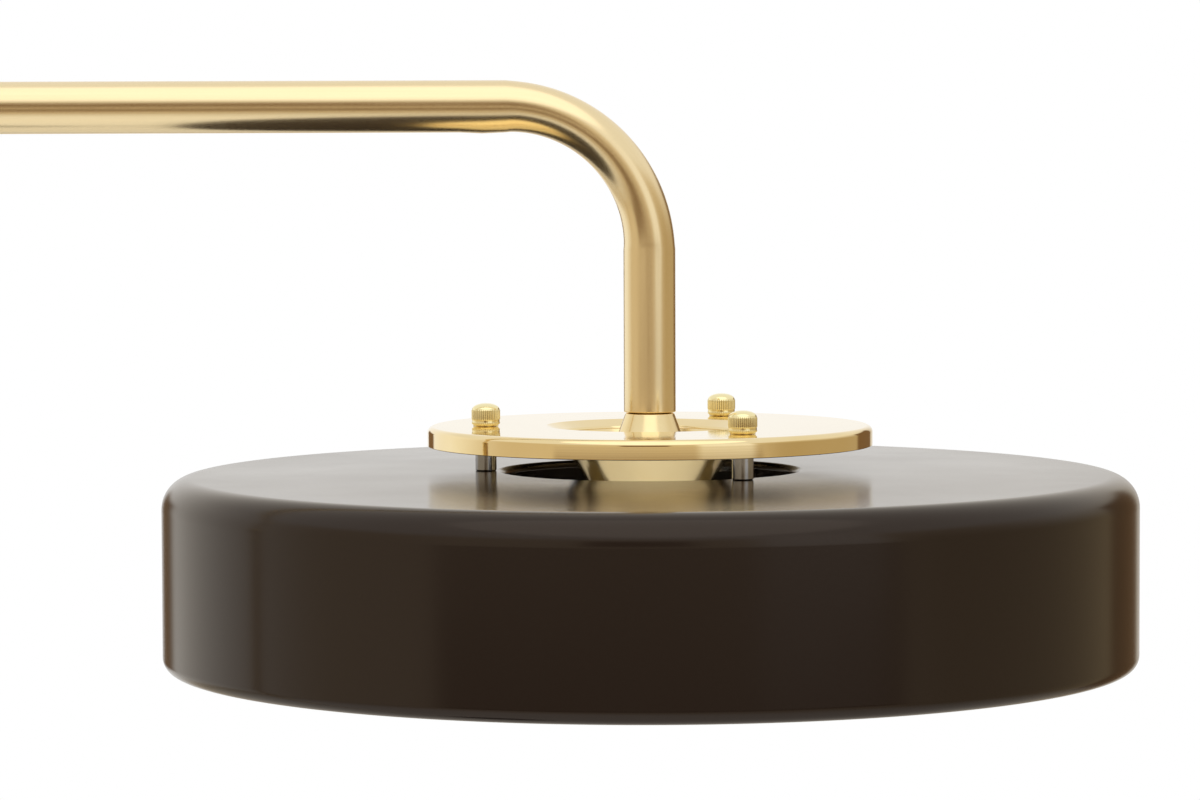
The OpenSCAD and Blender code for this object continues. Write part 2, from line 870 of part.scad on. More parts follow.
module head_terminal() {
    color(black_plastic)
        at_head()
            translate([0, 0, head_terminal_z])
                mirror([0, 0, 1])
                    terminal_block(2 * head_terminal_x);
}

module lampholder(i) {
    socket_w = cap_w + 2 * moving_gap;
    socket_t = cap_t + 2 * moving_gap;
    color(ceramic)
        at_lamp(i)
            difference() {
                linear_extrude(holder_l)
                    polygon(cut_bar(holder_w, holder_w, holder_cut));
                translate([-socket_t / 2, -socket_w / 2, holder_l - socket_h])
                    cube([socket_t, socket_w, socket_h + eps]);
            }
}

module lamp(i) {
    lamp_r = lamp_d / 2;
    nose = lamp_r * 0.7;
    cap_z = holder_l - socket_h + moving_gap;
    color(lamp_glass)
        at_lamp(i) {
            translate([-cap_t / 2, -cap_w / 2, cap_z])
                cube([cap_t, cap_w, socket_h]);
            turned(concat(
                [[0, holder_l], [lamp_r, holder_l]],
                arc(lamp_r - nose, holder_l + lamp_l - nose, nose, 0, 90),
                [[0, holder_l + lamp_l]]
            ));
        }
}

module shade() {
    top_steps = 10;
    top_outline = [
        for (i = [0:top_steps - 1])
            let (r = seat_r + (shade_shoulder_r - seat_r) * i / top_steps)
            [r, shade_rim_z + crown(r)]
    ];
    shoulder_z = shade_rim_z - shade_top_edge;
    lower_r = shade_r - shade_bottom_edge;
    lower_z = shade_bottom_z + shade_bottom_edge;
    lip_r = shade_r - shade_lip;
    hole_edge_r = shade_hole_r + shade_hole_edge;
    hole_edge_z = seat_z - shade_hole_edge;
    color(dark_bronze)
        difference() {
            at_head()
                turned(concat(
                    arc(hole_edge_r, hole_edge_z, shade_hole_edge, 180, 90),
                    top_outline,
                    arc(shade_shoulder_r, shoulder_z, shade_top_edge, 90, 0),
                    arc(lower_r, lower_z, shade_bottom_edge, 0, -90),
                    [[lip_r, shade_bottom_z], [lip_r, shade_bottom_z + shade_wall]],
                    arc(lower_r, lower_z, shade_bottom_edge - shade_wall, -90, 0),
                    arc(shade_shoulder_r, shoulder_z, shade_top_edge - shade_wall, 0, 90),
                    [for (i = [1:top_steps]) top_outline[top_steps - i] - [0, shade_wall]],
                    arc(hole_edge_r, hole_edge_z, shade_hole_edge - shade_wall, 90, 180)
                ));
            at_fixings()
                post(screw_hole_r, seat_z - 2 * shade_wall, seat_z + eps);
        }
}

module diffuser() {
    rest_z = shade_bottom_z + shade_wall;
    color(opal)
        at_head()
            post(shade_r - shade_bottom_edge - diffuser_inset, rest_z, rest_z + diffuser_h);
}

module shade_screws() {
    head_z = seat_z - shade_wall;
    color(steel)
        at_fixings() {
            post(screw_head_d / 2, head_z - screw_head_h, head_z);
            post(screw_r, head_z - screw_head_h / 2, screw_top_z);
        }
}

module shade_spacers() {
    color(steel)
        at_fixings()
            hollow_post(spacer_d / 2, screw_hole_r, seat_z, ring_bottom_z);
}

// Knurled cap nut that turns on its screw
module thumb_nut(i) {
    band_z = nut_foot_h + nut_band_h;
    dome_z = band_z + knurl_h;
    tip_r = nut_r - knurl_step;
    root_r = tip_r - knurl_depth;
    dome_r = root_r - knurl_step;
    ridges = [
        for (k = [0:2 * knurl_teeth - 1])
            let (r = k % 2 == 0 ? tip_r : root_r, a = 180 * k / knurl_teeth)
            [r * cos(a), r * sin(a)]
    ];
    ball_r = (dome_r * dome_r + nut_dome_h * nut_dome_h) / (2 * nut_dome_h);
    rim_angle = acos(dome_r / ball_r);
    color(brass)
        at_fixing(i)
            translate([0, 0, nut_z])
                difference() {
                    union() {
                        post(nut_foot_r, 0, nut_foot_h);
                        post(nut_r, nut_foot_h, band_z);
                        translate([0, 0, band_z])
                            linear_extrude(knurl_h)
                                polygon(ridges);
                        turned(concat(
                            [[0, dome_z]],
                            arc(0, dome_z + nut_dome_h - ball_r, ball_r, rim_angle, 90)
                        ));
                    }
                    post(nut_bore_r, -eps, nut_bore_h);
                }
}

base_pad();
base_weight();
base_cover();
cord_gland();
base_terminal();
switch_body();
switch_nut();
switch_bezel();
switch_button();
switch_lead();
foot_collar();
foot_nipple();
foot_washer();
foot_nut();
stem();
stem_lead();
swivel_housing();
swivel_bush();
arm_spigot();
swivel_stop_pin();
swivel_circlip();
arm_tube();
arm_lead();
head_collar();
head_cone();
head_ring();
head_nipple();
head_locknut();
lamp_plate();
plate_nut();
head_terminal();
for (i = [1:lamp_count]) {
    lampholder(i);
    lamp(i);
}
shade();
diffuser();
shade_screws();
shade_spacers();
for (i = [1:fixing_count])
    thumb_nut(i);
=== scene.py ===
import math

import bmesh
import bpy
from mathutils import Matrix, Vector


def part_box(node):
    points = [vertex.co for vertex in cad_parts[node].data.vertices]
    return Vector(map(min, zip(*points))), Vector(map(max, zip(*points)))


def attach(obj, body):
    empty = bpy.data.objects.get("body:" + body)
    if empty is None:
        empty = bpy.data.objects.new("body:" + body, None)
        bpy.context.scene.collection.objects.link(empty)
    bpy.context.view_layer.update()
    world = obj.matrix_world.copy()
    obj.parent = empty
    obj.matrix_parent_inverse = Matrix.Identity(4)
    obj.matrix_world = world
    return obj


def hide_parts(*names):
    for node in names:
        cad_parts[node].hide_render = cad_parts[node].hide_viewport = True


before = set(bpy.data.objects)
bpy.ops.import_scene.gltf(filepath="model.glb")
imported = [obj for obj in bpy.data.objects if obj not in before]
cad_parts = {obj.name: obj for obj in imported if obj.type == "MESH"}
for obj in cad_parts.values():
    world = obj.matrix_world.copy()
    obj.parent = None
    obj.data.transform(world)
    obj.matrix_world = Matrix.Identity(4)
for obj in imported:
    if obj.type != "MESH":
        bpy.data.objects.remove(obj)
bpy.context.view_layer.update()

MM = 0.001
FULL_TURN = 2 * math.pi
STAND = "stand"
ARM = "arm"
BUTTON = "button"


# Places and sizes taken from the frame

def centre_of(node):
    low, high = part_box(node)
    return (low + high) / 2


def radius_of(node):
    low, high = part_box(node)
    return (high.y - low.y) / 2


def bottom_of(node):
    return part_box(node)[0].z


def top_of(node):
    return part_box(node)[1].z


stem_axis = Vector((0, 0, 0))
head_axis = centre_of("shade").to_2d().to_3d()
ring_top = top_of("head_ring")
ring_bottom = bottom_of("head_ring")
funnel_base = bottom_of("head_cone")
shade_seat = bottom_of("shade_spacers")
shade_bottom = bottom_of("shade")
shade_r = radius_of("shade")
ring_r = radius_of("head_ring")
tube_end = bottom_of("arm_tube")
arm_r = radius_of("arm_tube")
arm_axis_z = top_of("arm_tube") - arm_r
stem_r = radius_of("stem")
base_r = radius_of("base_cover")
base_top = top_of("base_cover")


# Meshes

def arc(r, z, radius, start, end, steps=10):
    """Points of an arc round (r, z), from one angle to another in degrees."""
    angles = [math.radians(start + (end - start) * i / steps) for i in range(steps + 1)]
    return [(r + radius * math.cos(a), z + radius * math.sin(a)) for a in angles]


def spin_outline(bm, outline, axis, segments, closed=True):
    """Spins an outline of (radius, height) points about the upright line through axis."""
    verts = [bm.verts.new((axis.x + r, axis.y, z)) for r, z in outline]
    ends = zip(verts, verts[1:] + verts[:1]) if closed else zip(verts, verts[1:])
    edges = [bm.edges.new(pair) for pair in ends]
    bmesh.ops.spin(
        bm, geom=verts + edges, cent=axis, axis=(0, 0, 1), dvec=(0, 0, 0),
        angle=FULL_TURN, steps=segments, use_merge=True, use_duplicate=False,
    )


def close_up(bm):
    bmesh.ops.remove_doubles(bm, verts=bm.verts, dist=0.002 * MM)
    bmesh.ops.dissolve_degenerate(bm, edges=bm.edges, dist=0.001 * MM)
    bmesh.ops.recalc_face_normals(bm, faces=bm.faces)


def soften(bm, width, segments=3, sharp=28):
    """Bevels the edges whose faces meet at more than the given angle."""
    limit = math.radians(sharp)
    edges = [e for e in bm.edges if len(e.link_faces) == 2 and e.calc_face_angle() > limit]
    bmesh.ops.bevel(
        bm, geom=edges, offset=width, offset_type="OFFSET", segments=segments, profile=0.5,
        affect="EDGES", material=-1, clamp_overlap=True,
    )


def finish_piece(bm, name, body, finish, nodes):
    """Makes the mesh an object on its body, in place of CAD nodes."""
    for face in bm.faces:
        face.smooth = True
    mesh = bpy.data.meshes.new(name)
    bm.to_mesh(mesh)
    bm.free()
    piece = bpy.data.objects.new(name, mesh)
    bpy.context.scene.collection.objects.link(piece)
    mesh.materials.append(finish)
    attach(piece, body)
    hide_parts(*nodes)
    return piece


def even_normals(piece):
    """Keeps flat faces flat beside their bevels."""
    weighted = piece.modifiers.new("even_normals", "WEIGHTED_NORMAL")
    weighted.keep_sharp = True


def turned(name, outline, axis, body, finish, nodes, segments=192, edge=0.25 * MM, sharp=28):
    """A turned piece, its sharp corners softened."""
    bm = bmesh.new()
    spin_outline(bm, outline, axis, segments)
    close_up(bm)
    soften(bm, edge, sharp=sharp)
    piece = finish_piece(bm, name, body, finish, nodes)
    even_normals(piece)
    return piece


def extrude_ring(bm, edges):
    """Extrudes a loop of edges and gives the new loop's vertices and edges."""
    made = bmesh.ops.extrude_edge_only(bm, edges=edges)["geom"]
    verts = [g for g in made if isinstance(g, bmesh.types.BMVert)]
    fresh = set(verts)
    loop = [g for g in made if isinstance(g, bmesh.types.BMEdge) and fresh.issuperset(g.verts)]
    return verts, loop


def brushed_tube(name, stations, radius, wall, body, finish, nodes, sides=96, shape=None):
    """Sweeps a circle through stations of (matrix, length so far), with a UV map along the tube."""
    bm = bmesh.new()
    around = bm.verts.layers.float.new("around")
    along = bm.verts.layers.float.new("along")
    start = stations[0][0]
    verts = bmesh.ops.create_circle(
        bm, cap_ends=False, segments=sides, radius=radius, matrix=start
    )["verts"]
    edges = list(bm.edges)
    place = start
    for matrix, length in stations:
        if matrix is not start:
            verts, edges = extrude_ring(bm, edges)
            bmesh.ops.transform(bm, matrix=matrix @ place.inverted(), verts=verts)
        place = matrix
        for v in verts:
            local = place.inverted() @ v.co
            v[around] = math.atan2(local.y, local.x) * radius
            v[along] = length
    if shape:
        shape(bm, along)
    bmesh.ops.recalc_face_normals(bm, faces=bm.faces)
    uv = bm.loops.layers.uv.new("brush")
    girth = FULL_TURN * radius
    for face in bm.faces:
        far = max(v[around] for v in face.verts)
        for loop in face.loops:
            turn = loop.vert[around]
            if far - turn > girth / 2:
                turn += girth
            loop[uv].uv = (turn, loop.vert[along])
    piece = finish_piece(bm, name, body, finish, nodes)
    walls = piece.modifiers.new("wall", "SOLIDIFY")
    walls.thickness = wall
    walls.offset = -1
    rim = piece.modifiers.new("rim", "BEVEL")
    rim.width = 0.3 * MM
    rim.segments = 3
    rim.limit_method = "ANGLE"
    rim.angle_limit = math.radians(40)
    even_normals(piece)
    return piece


# Finishes

class Finish:
    """A material of one Principled shader, and short ways to add nodes to it."""

    def __init__(self, name):
        self.material = bpy.data.materials.new(name)
        self.material.use_nodes = True
        self.nodes = self.material.node_tree.nodes
        self.links = self.material.node_tree.links
        self.shader = self.nodes["Principled BSDF"]
        self.coordinates = self.nodes.new("ShaderNodeTexCoord")

    def set(self, **values):
        for socket, value in values.items():
            self.shader.inputs[socket.replace("_", " ")].default_value = value

    def drive(self, socket, output):
        self.links.new(output, self.shader.inputs[socket])

    def placed(self, scale, centre=(0, 0, 0), source="Object"):
        """Coordinates measured from centre and scaled."""
        moved = self.nodes.new("ShaderNodeMapping")
        moved.vector_type = "POINT"
        moved.inputs["Scale"].default_value = scale
        moved.inputs["Location"].default_value = [-c * s for c, s in zip(centre, scale)]
        self.links.new(self.coordinates.outputs[source], moved.inputs["Vector"])
        return moved.outputs["Vector"]

    def turning(self, axis, fine):
        """Coordinates that are the same all round an upright axis, for marks left by a lathe."""
        offset = self.placed((1, 1, 1), axis)
        parts = self.nodes.new("ShaderNodeSeparateXYZ")
        self.links.new(offset, parts.inputs["Vector"])
        flat = self.nodes.new("ShaderNodeCombineXYZ")
        self.links.new(parts.outputs["X"], flat.inputs["X"])
        self.links.new(parts.outputs["Y"], flat.inputs["Y"])
        reach = self.nodes.new("ShaderNodeVectorMath")
        reach.operation = "LENGTH"
        self.links.new(flat.outputs["Vector"], reach.inputs[0])
        marks = self.nodes.new("ShaderNodeCombineXYZ")
        self.links.new(reach.outputs["Value"], marks.inputs["X"])
        self.links.new(parts.outputs["Z"], marks.inputs["Y"])
        scaled = self.nodes.new("ShaderNodeVectorMath")
        scaled.operation = "SCALE"
        scaled.inputs["Scale"].default_value = fine
        self.links.new(marks.outputs["Vector"], scaled.inputs[0])
        return scaled.outputs["Vector"]

    def noise(self, vector, detail=3.0, rough=0.55):
        grain = self.nodes.new("ShaderNodeTexNoise")
        grain.inputs["Scale"].default_value = 1.0
        grain.inputs["Detail"].default_value = detail
        grain.inputs["Roughness"].default_value = rough
        self.links.new(vector, grain.inputs["Vector"])
        return grain.outputs["Fac"]

    def range(self, value, low, high, start=0.3, end=0.7):
        span = self.nodes.new("ShaderNodeMapRange")
        span.inputs["From Min"].default_value = start
        span.inputs["From Max"].default_value = end
        span.inputs["To Min"].default_value = low
        span.inputs["To Max"].default_value = high
        self.links.new(value, span.inputs["Value"])
        return span.outputs["Result"]

    def tones(self, value, dark, light, start=0.3, end=0.7):
        ramp = self.nodes.new("ShaderNodeValToRGB")
        ramp.color_ramp.elements[0].position = start
        ramp.color_ramp.elements[0].color = (*dark, 1)
        ramp.color_ramp.elements[1].position = end
        ramp.color_ramp.elements[1].color = (*light, 1)
        self.links.new(value, ramp.inputs["Fac"])
        return ramp.outputs["Color"]

    def bump(self, height, strength, distance, under=None):
        relief = self.nodes.new("ShaderNodeBump")
        relief.inputs["Strength"].default_value = strength
        relief.inputs["Distance"].default_value = distance
        self.links.new(height, relief.inputs["Height"])
        if under:
            self.links.new(under, relief.inputs["Normal"])
        return relief.outputs["Normal"]


def brushed_brass():
    """Satin tube, brushed along its length."""
    f = Finish("brushed_brass")
    f.set(Metallic=1.0, Anisotropic=0.4)
    streaks = f.noise(f.placed((4200, 22, 1), source="UV"), detail=4, rough=0.7)
    broad = f.noise(f.placed((420, 7, 1), source="UV"), detail=3)
    f.drive("Base Color", f.tones(broad, (0.87, 0.70, 0.41), (0.90, 0.74, 0.45)))
    f.drive("Roughness", f.range(streaks, 0.18, 0.26))
    f.drive("Normal", f.bump(streaks, 0.05, 0.03 * MM))
    along = f.nodes.new("ShaderNodeTangent")
    along.direction_type = "UV_MAP"
    along.uv_map = "brush"
    f.drive("Tangent", along.outputs["Tangent"])
    return f.material


def polished_brass(name, axis, rough, marks):
    """Turned and polished brass, with faint lathe marks and handling haze."""
    f = Finish(name)
    f.set(Metallic=1.0)
    lathe = f.noise(f.turning(axis, 2600), detail=3, rough=0.6)
    haze = f.noise(f.placed((60, 60, 60)), detail=4)
    f.drive("Base Color", f.tones(haze, (0.88, 0.70, 0.37), (0.91, 0.74, 0.42)))
    f.drive("Roughness", f.range(haze, *rough))
    f.drive("Normal", f.bump(lathe, marks, 0.02 * MM))
    return f.material


def nut_brass():
    """Bare yellow brass of the thumb nuts, with painted shade darkening the grooves of the knurl by their
    depth.
    """
    f = Finish("nut_brass")
    f.set(Metallic=1.0)
    haze = f.noise(f.placed((400, 400, 400)), detail=4)
    groove = f.nodes.new("ShaderNodeAttribute")
    groove.attribute_name = "groove"
    # painted shade: the deeper a knurl groove, the darker brown its colour
    f.drive("Base Color", f.tones(groove.outputs["Fac"], (0.95, 0.83, 0.46), (0.28, 0.18, 0.05), 0.25, 0.9))
    f.drive("Roughness", f.range(haze, 0.12, 0.18))
    return f.material


def dark_bronze():
    """Smooth bronze lacquer, almost black brown, with a fine orange peel and a warm sheen at low angles."""
    f = Finish("dark_bronze")
    f.set(Metallic=0.5, Specular_Tint=(1.0, 0.92, 0.8, 1.0))
    peel = f.noise(f.placed((700, 700, 700)), detail=3)
    speck = f.noise(f.placed((4200, 4200, 4200)), detail=2)
    drift = f.noise(f.placed((14, 14, 14)), detail=3)
    f.drive("Base Color", f.tones(speck, (0.020, 0.013, 0.010), (0.025, 0.017, 0.013)))
    f.drive("Roughness", f.range(drift, 0.15, 0.19))
    fine = f.bump(speck, 0.05, 0.02 * MM)
    f.drive("Normal", f.bump(peel, 0.06, 0.06 * MM, fine))
    return f.material


def turned_steel(name, dark, light, rough):
    """Bare steel with fine marks round an upright axis."""
    f = Finish(name)
    f.set(Metallic=1.0)
    grain = f.noise(f.placed((900, 900, 6000)), detail=3)
    haze = f.noise(f.placed((150, 150, 150)), detail=3)
    f.drive("Base Color", f.tones(haze, dark, light))
    f.drive("Roughness", f.range(grain, *rough))
    f.drive("Normal", f.bump(grain, 0.06, 0.03 * MM))
    return f.material


def grained(name, dark, light, rough, grain_size, relief, metallic=0.0):
    """A matt or moulded finish with grain of the given size."""
    f = Finish(name)
    f.set(Metallic=metallic)
    count = 1 / grain_size
    grain = f.noise(f.placed((count, count, count)), detail=4)
    cloud = f.noise(f.placed((35, 35, 35)), detail=3)
    f.drive("Base Color", f.tones(cloud, dark, light))
    f.drive("Roughness", f.range(grain, *rough))
    f.drive("Normal", f.bump(grain, relief, 0.2 * grain_size))
    return f.material


def opal_acrylic():
    """Satin acrylic that lets the light of the lamps through."""
    f = Finish("opal_acrylic")
    f.set(Transmission_Weight=0.97, IOR=1.49)
    cloud = f.noise(f.placed((30, 30, 30)), detail=3)
    grain = f.noise(f.placed((2500, 2500, 2500)), detail=2)
    f.drive("Base Color", f.tones(cloud, (0.96, 0.957, 0.945), (0.985, 0.982, 0.972)))
    f.drive("Roughness", f.range(grain, 0.34, 0.44))
    f.drive("Normal", f.bump(grain, 0.03, 0.05 * MM))
    return f.material


BRUSHED = brushed_brass()
RING_BRASS = polished_brass("ring_brass", head_axis, (0.05, 0.09), 0.1)
FUNNEL_BRASS = polished_brass("funnel_brass", head_axis, (0.13, 0.19), 0.08)
SWIVEL_BRASS = polished_brass("swivel_brass", stem_axis, (0.12, 0.2), 0.08)
SWITCH_BRASS = polished_brass("switch_brass", centre_of("switch_button"), (0.08, 0.14), 0.1)
NUT_BRASS = nut_brass()
BRONZE = dark_bronze()
STEEL = turned_steel("turned_steel", (0.46, 0.44, 0.42), (0.56, 0.54, 0.52), (0.2, 0.34))
SPACER_STEEL = turned_steel("spacer_steel", (0.34, 0.33, 0.32), (0.42, 0.41, 0.4), (0.14, 0.22))
IRON = grained("cast_iron", (0.045, 0.045, 0.048), (0.075, 0.075, 0.08), (0.5, 0.75), 0.6 * MM, 0.5, 0.6)
RUBBER = grained("pad_rubber", (0.012, 0.012, 0.012), (0.022, 0.022, 0.022), (0.7, 0.9), 0.4 * MM, 0.3)
PLASTIC = grained("black_plastic", (0.014, 0.014, 0.015), (0.022, 0.022, 0.023), (0.38, 0.55), 0.25 * MM, 0.2)
ENAMEL = grained("white_enamel", (0.78, 0.77, 0.74), (0.84, 0.83, 0.8), (0.22, 0.34), 1.2 * MM, 0.05)
CERAMIC = grained("lampholder_ceramic", (0.8, 0.77, 0.7), (0.86, 0.83, 0.77), (0.3, 0.5), 0.3 * MM, 0.15)
GLASS = grained("lamp_glass", (0.84, 0.83, 0.79), (0.9, 0.89, 0.86), (0.35, 0.5), 0.2 * MM, 0.05)
SHEATH = grained("lead_sheath", (0.62, 0.6, 0.56), (0.7, 0.68, 0.64), (0.4, 0.55), 0.5 * MM, 0.1)
OPAL = opal_acrylic()


# Head: ring, funnel and collar

throat_w = 4 * MM
throat_h = 1.9 * MM
throat_lip = 0.8 * MM
funnel_slope = math.radians(33)
collar_slope = math.radians(20)
ring_edge = 2 * MM
funnel_floor = ring_top - 18 * MM
funnel_wall = 1.2 * MM
land = 2.2 * MM
land_gap = 0.1 * MM
rod_hole = 5.1 * MM
collar_top_r = arm_r - 0.5 * MM
collar_base_r = collar_top_r + (tube_end - funnel_floor) * math.tan(collar_slope)
floor_r = collar_base_r + 2 * MM
throat_z = ring_top - throat_h
land_z = throat_z - throat_lip


def funnel_inside(z):
    return floor_r + (z - funnel_floor) * math.tan(funnel_slope)


throat_r = funnel_inside(throat_z)
ring_hole_r = throat_r + throat_w
land_in_r = funnel_inside(land_z)
land_r = land_in_r + land
outer_wall = funnel_wall / math.cos(funnel_slope)

turned(
    "head_ring",
    [(land_r + land_gap, ring_bottom), (ring_r, ring_bottom)]
    + arc(ring_r - ring_edge, ring_top - ring_edge, ring_edge, 0, 90)
    + [
        (ring_hole_r, ring_top), (throat_r, throat_z),
        (land_in_r, land_z), (land_r + land_gap, land_z),
    ],
    head_axis, ARM, RING_BRASS, ["head_ring"], segments=288, edge=0.2 * MM, sharp=20,
)
turned(
    "head_funnel",
    [
        (rod_hole, funnel_base), (funnel_inside(funnel_base) + outer_wall, funnel_base),
        (funnel_inside(ring_bottom) + outer_wall, ring_bottom), (land_r, ring_bottom),
        (land_r, land_z), (land_in_r, land_z), (floor_r, funnel_floor), (rod_hole, funnel_floor),
    ],
    head_axis, ARM, FUNNEL_BRASS, ["head_cone"], segments=256, edge=0.15 * MM,
)
spigot_h = 18 * MM
spigot_r = arm_r - 1.6 * MM
spigot_top = tube_end + spigot_h
seam = 0.25 * MM
turned(
    "head_collar",
    [
        (rod_hole, funnel_floor), (collar_base_r, funnel_floor), (collar_top_r, tube_end - seam),
        (spigot_r, tube_end - seam), (spigot_r, spigot_top), (rod_hole, spigot_top),
    ],
    head_axis, ARM, FUNNEL_BRASS, ["head_collar"], edge=0.4 * MM,
)


# Shade and diffuser

shade_wall = 1.5 * MM
hole_r = 45 * MM
hole_edge = 2.2 * MM
seat_r = 62 * MM
crown_h = 1.3 * MM
top_edge = 9.5 * MM
bottom_edge = 4.35 * MM
lip = 8 * MM
rim_z = shade_seat - crown_h
shoulder_r = shade_r - top_edge
crown_steps = 24


def crown(i):
    """Point of the shade's top, which falls gently from its seat to its shoulder."""
    share = i / crown_steps
    r = seat_r + (shoulder_r - seat_r) * share
    return r, rim_z + crown_h * (1 + math.cos(math.pi * share)) / 2


top_outside = [crown(i) for i in range(crown_steps)]
top_inside = [(r, z - shade_wall) for r, z in reversed(top_outside)]
low_r = shade_r - bottom_edge
low_z = shade_bottom + bottom_edge
turned(
    "shade",
    arc(hole_r + hole_edge, shade_seat - hole_edge, hole_edge, 180, 90, 8)
    + top_outside
    + arc(shoulder_r, rim_z - top_edge, top_edge, 90, 0, 16)
    + arc(low_r, low_z, bottom_edge, 0, -90, 12)
    + [(shade_r - lip, shade_bottom), (shade_r - lip, shade_bottom + shade_wall)]
    + arc(low_r, low_z, bottom_edge - shade_wall, -90, 0, 8)
    + arc(shoulder_r, rim_z - top_edge, top_edge - shade_wall, 0, 90, 12)
    + top_inside
    + arc(hole_r + hole_edge, shade_seat - hole_edge, hole_edge - shade_wall, 90, 180, 5),
    head_axis, ARM, BRONZE, ["shade"], segments=320, edge=0.5 * MM,
)
turned(
    "diffuser",
    [
        (0, bottom_of("diffuser")), (radius_of("diffuser"), bottom_of("diffuser")),
        (radius_of("diffuser"), top_of("diffuser")), (0, top_of("diffuser")),
    ],
    head_axis, ARM, OPAL, ["diffuser"], edge=0.4 * MM,
)


# Spacers and thumb nuts

def spacer_posts():
    """Three bored posts between ring and shade, their ends chamfered."""
    bm = bmesh.new()
    r, bore, cut = 3.25 * MM, 2.15 * MM, 0.3 * MM
    for i in (1, 2, 3):
        spin_outline(
            bm,
            [
                (bore, shade_seat), (r - cut, shade_seat), (r, shade_seat + cut),
                (r, ring_bottom - cut), (r - cut, ring_bottom), (bore, ring_bottom),
            ],
            centre_of(f"thumb_nut_{i}").to_2d().to_3d(), 48,
        )
    close_up(bm)
    soften(bm, 0.08 * MM, 2)
    even_normals(finish_piece(bm, "shade_spacers", ARM, SPACER_STEEL, ["shade_spacers"]))


def thumb_nut(i):
    """Domed nut: undercut foot, knurled bead, plain band and a knurl under the dome."""
    node = f"thumb_nut_{i}"
    axis = centre_of(node)
    foot, top = bottom_of(node), top_of(node)
    teeth, samples = 44, 8
    depth = 0.3 * MM
    nut_h = 7
    dome_steps, dome_end = 10, math.radians(82)
    # height and radius in mm, and the share of the knurl's depth
    rings = [
        (0.0, 3.9, 0), (0.42, 3.9, 0), (0.5, 4.1, 0.3), (0.62, 4.28, 0.8), (1.0, 4.36, 0.8),
        (1.12, 4.3, 0.2), (1.2, 4.26, 0), (1.85, 4.26, 0), (1.95, 4.3, 0.1), (2.1, 4.39, 1),
        (2.25, 4.4, 1), (4.65, 4.4, 1), (4.78, 4.4, 1), (4.9, 4.36, 0.8), (4.98, 4.3, 0.25), (5.02, 4.25, 0),
    ]
    dome_z, dome_r = rings[-1][:2]
    dome = [
        (dome_z + (nut_h - dome_z) * math.sin(a), dome_r * math.cos(a), 0)
        for a in (dome_end * k / dome_steps for k in range(1, dome_steps + 1))
    ]
    bm = bmesh.new()
    # groove depth of each vertex, read by the nut finish to paint shade into the knurl's grooves
    groove = bm.verts.layers.float.new("groove")
    base = Matrix.Translation((axis.x, axis.y, foot))
    verts = bmesh.ops.create_circle(
        bm, cap_ends=True, segments=teeth * samples, radius=rings[0][1] * MM, matrix=base
    )["verts"]
    edges = list(bm.edges)
    for z, ring_radius, knurl in rings[1:] + dome:
        verts, edges = extrude_ring(bm, edges)
        for v in verts:
            turn = math.atan2(v.co.y - axis.y, v.co.x - axis.x)
            tooth = abs(math.cos(turn * teeth / 2)) ** 0.5
            reach = ring_radius * MM - depth * knurl * (1 - tooth)
            v.co = (axis.x + reach * math.cos(turn), axis.y + reach * math.sin(turn), foot + z * MM)
            v[groove] = knurl * (1 - tooth)
    bmesh.ops.pointmerge(bm, verts=verts, merge_co=(axis.x, axis.y, top))
    close_up(bm)
    finish_piece(bm, node, f"nut_{i}", NUT_BRASS, [node])


spacer_posts()
for number in (1, 2, 3):
    thumb_nut(number)


# Arm tube, stem and swivel

bend_r = 44 * MM
arm_length = head_axis.x
bend_z = arm_axis_z - bend_r
bend_steps = 48


def station(x, z, heading, squeeze=0.0):
    """Place of a ring of the arm: heading 0 is up, 90 is along the arm and 180 is down."""
    turn = Matrix.Rotation(math.radians(heading), 4, "Y")
    flat = Matrix.Diagonal((1 - squeeze, 1 + squeeze / 3, 1, 1))
    return Matrix.Translation((x, 0, z)) @ turn @ flat


def arm_stations():
    """Rings from the stem's side to the head's side, flattened a little in the bends."""
    squeeze = 0.085
    stops = []
    length = 0.0
    straight = 12

    def go(matrix, step):
        nonlocal length
        length += step
        stops.append((matrix, length))

    def flatness(share):
        return squeeze * math.sin(math.pi * share) ** 0.6

    riser = bend_z - tube_end
    for i in range(straight + 1):
        go(station(0, tube_end + riser * i / straight, 0), riser / straight if i else 0.0)
    bow = bend_r * math.pi / 2 / bend_steps
    for i in range(1, bend_steps):
        a = math.pi / 2 * i / bend_steps
        x, z = bend_r * (1 - math.cos(a)), bend_z + bend_r * math.sin(a)
        go(station(x, z, math.degrees(a), flatness(i / bend_steps)), bow)
    run = arm_length - 2 * bend_r
    for i in range(4 * straight + 1):
        go(station(bend_r + run * i / 4 / straight, arm_axis_z, 90), run / 4 / straight if i else bow)
    for i in range(1, bend_steps):
        a = math.pi / 2 * i / bend_steps
        x, z = arm_length - bend_r * (1 - math.sin(a)), bend_z + bend_r * math.cos(a)
        go(station(x, z, 90 + math.degrees(a), flatness(i / bend_steps)), bow)
    for i in range(straight + 1):
        go(station(arm_length, bend_z - riser * i / straight, 180), riser / straight if i else bow)
    return stops


def wrinkle(bm, along):
    """Small fold on the inside of each bend, where the bending tool gripped the tube."""
    bow = bend_r * math.pi / 2
    riser = bend_z - tube_end
    run = arm_length - 2 * bend_r
    width, grip, fold_h = 3.4 * MM, 5.8 * MM, 0.38 * MM
    for v in bm.verts:
        inside = max(0, (arm_axis_z - v.co.z) / arm_r) if v.co.z > arm_axis_z - 1.5 * arm_r else 0
        for place in (riser + bow + grip, riser + bow + run - grip):
            v.co.z -= fold_h * inside ** 2 * math.exp(-(((v[along] - place) / width) ** 2))


